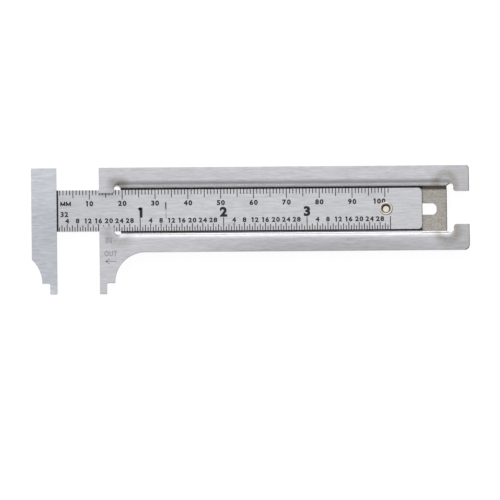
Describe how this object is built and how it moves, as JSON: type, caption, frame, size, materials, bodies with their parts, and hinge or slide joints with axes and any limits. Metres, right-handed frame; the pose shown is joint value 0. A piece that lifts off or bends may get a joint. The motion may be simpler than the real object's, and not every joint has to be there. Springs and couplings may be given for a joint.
{
  "type": "slide caliper",
  "caption": "Pocket slide caliper: a graduated steel rule with a fixed jaw slides in a pressed channel body that carries the sliding jaw.",
  "frame": {"origin": "on the measuring face of the fixed jaw, on the centreline of the rule, at half the jaw's thickness", "axes": "+X along the rule away from the fixed jaw, +Y across it away from the jaw tips, +Z out of the graduated face"},
  "size_m": [0.1333, 0.039, 0.0045],
  "materials": {
    "rule_steel": "satin, with black etched lines and numbers",
    "jaw_steel": "brushed along the rule",
    "body_steel": "fine satin",
    "rivet_nickel": "nickel plated, bright"
  },
  "bodies": {
    "rule": {"beam": "rule_steel", "fixed_jaw": "jaw_steel", "stop_rivet": "rivet_nickel"},
    "slide": {"slide_body": "body_steel"}
  },
  "joints": [
    {"name": "slide_travel", "type": "slide", "parent": "rule", "child": "slide", "axis": [1, 0, 0], "range_m": [-0.0129, 0.0762]}
  ]
}
